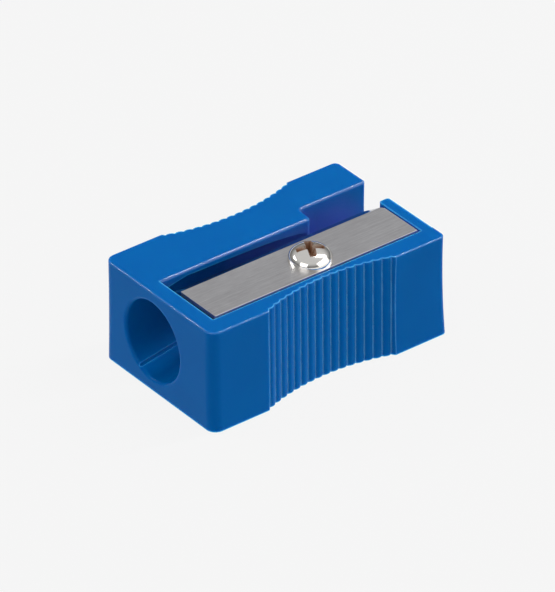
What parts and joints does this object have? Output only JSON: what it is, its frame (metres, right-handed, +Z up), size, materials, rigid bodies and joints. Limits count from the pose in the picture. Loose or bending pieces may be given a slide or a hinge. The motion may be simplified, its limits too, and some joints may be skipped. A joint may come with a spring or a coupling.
{
  "type": "block pencil sharpener",
  "caption": "Small hand-held block pencil sharpener with a steel blade held by a domed screw, a pencil hole in one end and ribbed finger grips on both long sides.",
  "frame": {"origin": "centre of the underside of the block", "axes": "+X along the block's length, the way the pencil is pushed in; -Y towards the long side beside the blade; +Z up, out of the face that carries the blade"},
  "size_m": [0.0278, 0.0168, 0.0124],
  "materials": {
    "housing": "smooth moulded blue plastic",
    "blade": "fine lengthways grain",
    "screw": "bright plated"
  },
  "bodies": {
    "housing": {"housing": "housing"},
    "blade": {"blade": "blade"},
    "screw": {"screw": "screw"}
  },
  "joints": [
    {"name": "blade_lift", "type": "slide", "parent": "housing", "child": "blade", "axis": [0, 0, 1], "range_m": [0, 0.0065]},
    {"name": "screw_turn", "type": "hinge", "parent": "blade", "child": "screw", "pos_m": [0.00115, -0.0038, 0.011], "axis": [0, 0, 1], "range_deg": [0, 2340]}
  ],
  "couplings": [
    {"joint": "screw_turn", "follows": "blade_lift", "rad_per_m": 6283.2}
  ]
}
